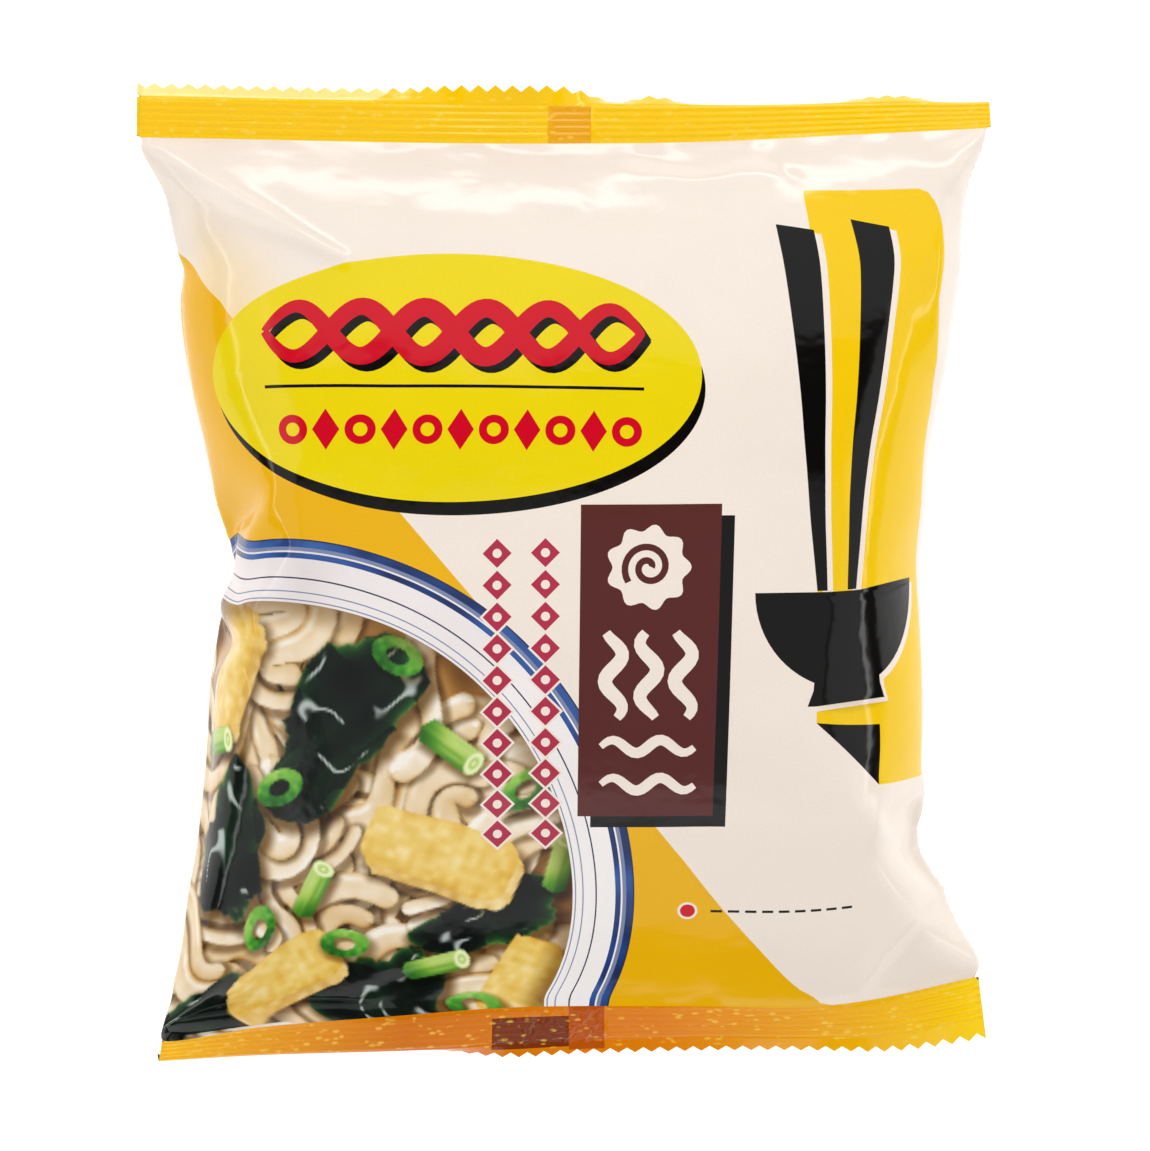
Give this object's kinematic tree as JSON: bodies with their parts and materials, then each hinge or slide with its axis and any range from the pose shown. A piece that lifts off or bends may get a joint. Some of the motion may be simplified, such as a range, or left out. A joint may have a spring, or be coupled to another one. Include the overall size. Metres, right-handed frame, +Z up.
{
  "type": "instant noodle pack",
  "caption": "Shut pillow pack of instant noodles with crimped zigzag end seals and a back fin, lying on its back.",
  "frame": {"origin": "middle of the pack's box in X and Y, at the underside of the fin that it rests on", "axes": "+X to the right of the printed front, +Y to the upper end seal, +Z up out of the printed front"},
  "size_m": [0.15, 0.1714, 0.046],
  "materials": {
    "printed_film": "glossy printed plastic film, warm white with amber and lemon fields"
  },
  "bodies": {
    "root": {"noodle_pack": "printed_film"}
  },
  "joints": []
}
